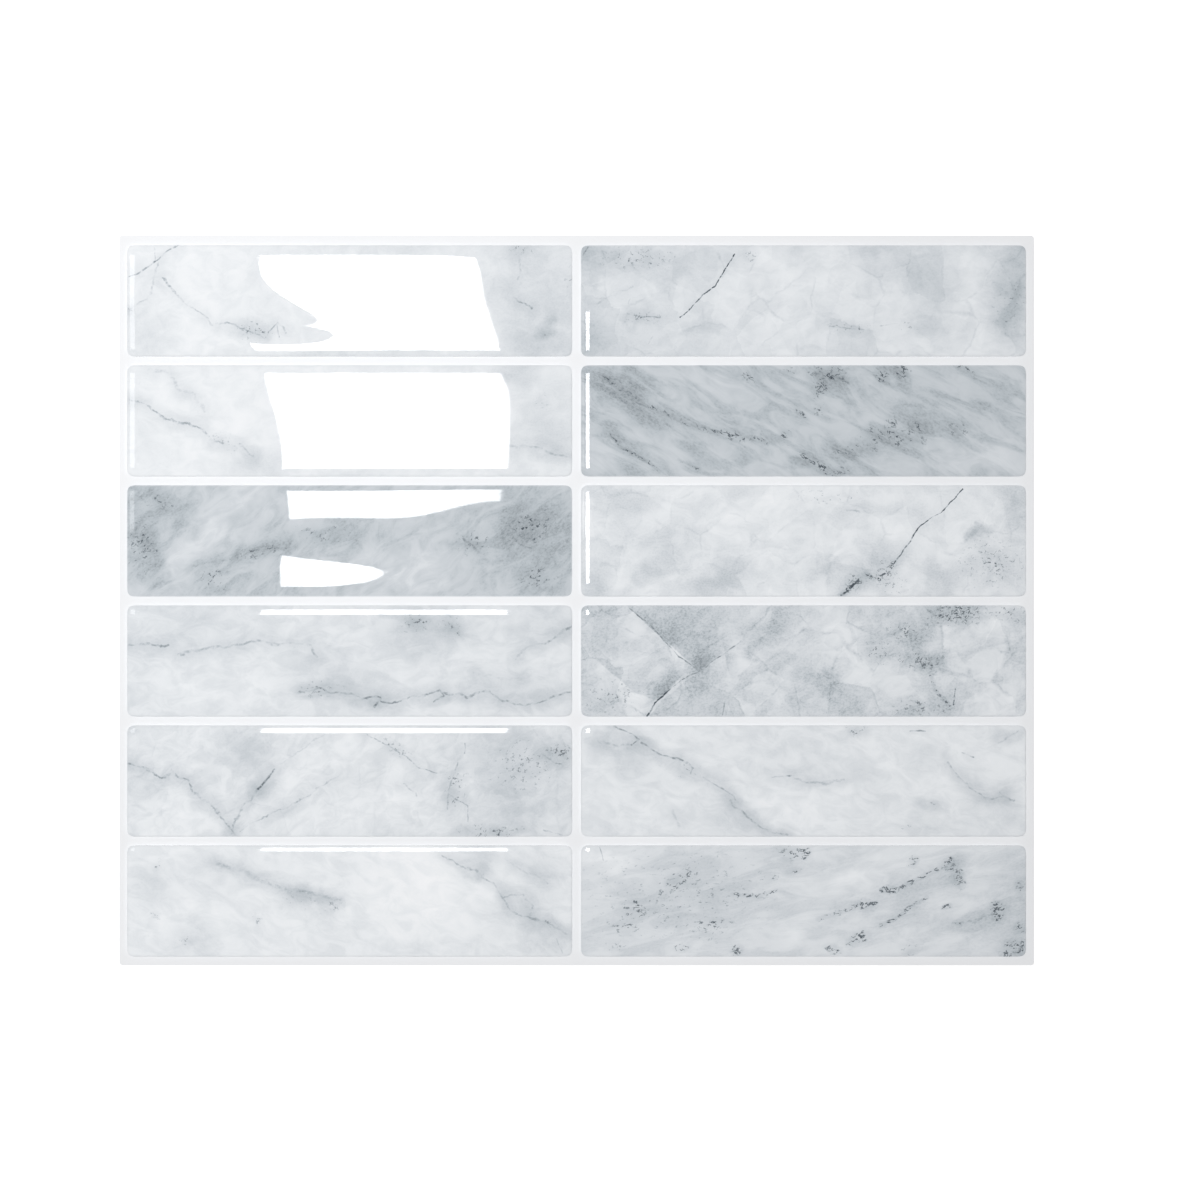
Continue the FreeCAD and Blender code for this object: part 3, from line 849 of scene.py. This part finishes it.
def gel_over_marble(name, middle, half, features, seed):
    """The material of one gel tile with its printed plank."""
    material, tree = new_material(name)
    colour = marble(tree, middle, half, features, seed)
    skin = add(tree, "ShaderNodeNewGeometry", out="True Normal")
    rise = add(tree, "ShaderNodeSeparateXYZ", {0: skin}, "Z")
    wall = add(tree, RANGE, {"Value": rise, "From Min": WALL_RISE, "From Max": 0.0})
    facing = add(tree, "ShaderNodeMix", {0: wall, 4: (0, 0, 1), 5: skin}, data_type="VECTOR")
    shader = add(tree, "ShaderNodeBsdfPrincipled", {
        "Base Color": colour, "Roughness": 0.6, "Specular IOR Level": 0.0, "Normal": facing,
        "Coat Weight": 1.0, "Coat IOR": GEL_IOR, "Coat Roughness": GEL_ROUGHNESS})
    add(tree, "ShaderNodeOutputMaterial", {"Surface": shader})
    return material


mirrored = ((GEL_IOR - 1) / (GEL_IOR + 1)) ** 2
print("Seen straight on, the gel mirrors", round(mirrored, 3), "of the light")

# %% Make the twelve tiles
SAG = 0.04
# A dent is its depth in mm, x, y, reach along x, reach along y and angle, as a patch is.
DENTS = {
    "row1_col1": ((0.34, -40, -3, 17, 4.4, -12), (0.14, -18, -6.5, 12, 2.8, -6),
                  (0.16, 60, 8, 13, 14, 0), (0.05, 50, 17, 9, 4, 0)),
    "row2_col1": ((0.14, -40, -12, 12, 14, 0), (0.03, 58, 17, 5, 3, 0)),
    "row3_col1": ((0.40, -42, -8, 15, 22, 0), (0.26, -7, -8, 20, 9, -3), (0.12, 0, -20, 45, 4, 0),
                  (0.8, 50, -18, 28, 24, 12)),
    "row1_col2": ((0.42, -74, 16, 12, 13, 0),),
}

for seed, (name, features) in enumerate(PLANKS.items(), start=1):
    node = f"gel_tile_{name}"
    dome, middle, half = gel_tile(node, SAG, DENTS.get(name, ()))
    material = gel_over_marble(f"gel_over_marble_{name}", middle, half, features, seed)
    dome.data.materials.append(material)
    dome.visible_shadow = False
    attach(dome, "root")
    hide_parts(node)
    print(dome.name, len(dome.data.polygons), "faces")

# %% [markdown]
# ## The film and the liner
# The film is calendered white vinyl. The calender's roller leaves a fine satin texture, which
# shows between the tiles as a soft sheen. The liner is paper with a silicone skin, so that it
# peels off: smooth, a little shiny and warmer than the film. Both are flat sheets whose shape is
# right in the frame, so they only get a material.

# %% Film and liner materials
# Real grit is under 0.1 mm and real fibres are about 0.03 mm wide, too fine to show, so both are
# drawn coarser.
FILM_WHITE = "#EEEFF1"
FILM_GRIT = 0.35
PAPER_WHITE = "#F2F0EA"
PAPER_SHADE = "#E6E3DA"
FIBRE_LENGTH = 2.5
FIBRE_WIDTH = 0.3


def calendered_vinyl():
    """Matt white film with the fine grit of the roller."""
    material, tree = new_material("calendered_vinyl")
    where = add(tree, "ShaderNodeTexCoord", out="Object")
    place = add(tree, PLACE, {"Vector": where, "Scale": (1 / MM, 1 / MM, 1 / MM)})
    grit = add(tree, NOISE, {"Vector": place, "Scale": 1 / FILM_GRIT, "Detail": 2}, "Fac")
    sheen = add(tree, RANGE, {"Value": grit, "From Min": 0.3, "From Max": 0.7,
                              "To Min": 0.29, "To Max": 0.37})
    bump = add(tree, "ShaderNodeBump", {"Height": grit, "Strength": 0.1, "Distance": 0.02 * MM})
    shader = add(tree, "ShaderNodeBsdfPrincipled", {
        "Base Color": linear(FILM_WHITE), "Roughness": sheen, "IOR": 1.53, "Normal": bump})
    add(tree, "ShaderNodeOutputMaterial", {"Surface": shader})
    return material


def siliconised_paper():
    """Smooth release paper with long faint fibres."""
    material, tree = new_material("siliconised_paper")
    where = add(tree, "ShaderNodeTexCoord", out="Object")
    place = add(tree, PLACE, {"Vector": where, "Scale": (
        1 / (FIBRE_LENGTH * MM), 1 / (FIBRE_WIDTH * MM), 1 / (FIBRE_WIDTH * MM))})
    fibre = add(tree, NOISE, {"Vector": place, "Scale": 1, "Detail": 4, "Roughness": 0.6,
                              "Distortion": 1.0}, "Fac")
    colour = add(tree, "ShaderNodeMix", {0: fibre, 6: linear(PAPER_WHITE), 7: linear(PAPER_SHADE)},
                 data_type="RGBA")
    bump = add(tree, "ShaderNodeBump", {"Height": fibre, "Strength": 0.15, "Distance": 0.02 * MM})
    shader = add(tree, "ShaderNodeBsdfPrincipled", {
        "Base Color": colour, "Roughness": 0.35, "IOR": 1.45, "Normal": bump})
    add(tree, "ShaderNodeOutputMaterial", {"Surface": shader})
    return material


for node, material in (("printed_film", calendered_vinyl()), ("release_liner", siliconised_paper())):
    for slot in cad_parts[node].material_slots:
        slot.material = material
    print(node, "gets", material.name)

# %% [markdown]
# ## The studio
# The sheet lies on a white floor. The floor is painted a plain pale grey and glows a little where
# it is seen, straight or in a mirror, which takes its picture to white and still leaves the
# sheet's soft shadow. The sky is even and gives the low fill. A big lamp at the upper left gives
# most of the light, which falls off to the lower right, and mirrors don't show it. Two soft boxes
# hang at the camera's height. The gel mirrors the near one as a white shape, and the far one as a
# pale band on the shoulders at the left.

# %% Floor
FLOOR_SIZE = 3.0
FLOOR_GREY = "#E8E8E8"
FLOOR_GLOW = 0.5
SEEN_RAYS = ("Is Camera Ray", "Is Glossy Ray", "Is Transmission Ray")


def seen_rays(tree):
    """1 for rays that show the background itself, and 0 for rays that only gather its light."""
    path = add(tree, "ShaderNodeLightPath").node.outputs
    seen = path[SEEN_RAYS[0]]
    for name in SEEN_RAYS[1:]:
        seen = add(tree, MATH, {0: seen, 1: path[name]}, operation="MAXIMUM")
    return seen


def studio_floor():
    """A big plain sheet under the object."""
    shape = bmesh.new()
    bmesh.ops.create_grid(shape, x_segments=1, y_segments=1, size=FLOOR_SIZE / 2)
    floor = new_piece("floor", shape)
    material, tree = new_material("white_floor")
    glow = add(tree, MATH, {0: seen_rays(tree), 1: FLOOR_GLOW}, operation="MULTIPLY")
    shader = add(tree, "ShaderNodeBsdfPrincipled", {
        "Base Color": linear(FLOOR_GREY), "Roughness": 0.9, "Specular IOR Level": 0.0,
        "Emission Color": (1, 1, 1, 1), "Emission Strength": glow})
    add(tree, "ShaderNodeOutputMaterial", {"Surface": shader})
    floor.data.materials.append(material)
    return floor


floor = studio_floor()
print("Floor:", floor.dimensions.x, "m")

# %% Sky and lamps
SKY_LEVEL = 0.34
SOFT_BOX_SIZE = (157 * MM, 212 * MM)
SOFT_BOX_PLACE = (-138.5 * MM, 116 * MM)
SOFT_BOX_WATTS = 1.6
SIDE_BOX_SIZE = (220 * MM, 200 * MM)
SIDE_BOX_PLACE = (-490 * MM, 140 * MM)
SIDE_BOX_WATTS = 0.45
KEY_SIZE = 0.5
KEY_PLACE = (-0.5, 0.4, 1.2)
KEY_WATTS = 10.4

world = bpy.data.worlds.new("sky")
world.use_nodes = True
world.node_tree.nodes.clear()
level = add(world.node_tree, RANGE, {"Value": seen_rays(world.node_tree), "To Min": SKY_LEVEL,
                                     "To Max": 1.0})
sky = add(world.node_tree, "ShaderNodeBackground", {"Color": (1, 1, 1, 1), "Strength": level})
add(world.node_tree, "ShaderNodeOutputWorld", {"Surface": sky})
bpy.context.scene.world = world


def lamp(name, place, size, watts, aim):
    """An area lamp at a place, turned to face the aim."""
    light = bpy.data.lights.new(name, "AREA")
    light.shape = "RECTANGLE"
    light.size, light.size_y = size
    light.energy = watts
    item = bpy.data.objects.new(name, light)
    item.location = place
    item.rotation_euler = (Vector(aim) - Vector(place)).to_track_quat("-Z", "Y").to_euler()
    bpy.context.scene.collection.objects.link(item)
    return item


for name, place, size, watts in (
    ("soft_box", SOFT_BOX_PLACE, SOFT_BOX_SIZE, SOFT_BOX_WATTS),
    ("side_box", SIDE_BOX_PLACE, SIDE_BOX_SIZE, SIDE_BOX_WATTS),
):
    box_x, box_y = camera.location.x + place[0], camera.location.y + place[1]
    box = lamp(name, (box_x, box_y, camera.location.z), size, watts, (box_x, box_y, 0))
    print(box.name, [round(c, 3) for c in box.location])
key = lamp("key_lamp", KEY_PLACE, (KEY_SIZE, KEY_SIZE), KEY_WATTS, (0, 0, 0))
key.visible_glossy = False
bpy.context.scene.view_settings.view_transform = "Standard"
print(key.name, [round(c, 3) for c in key.location])
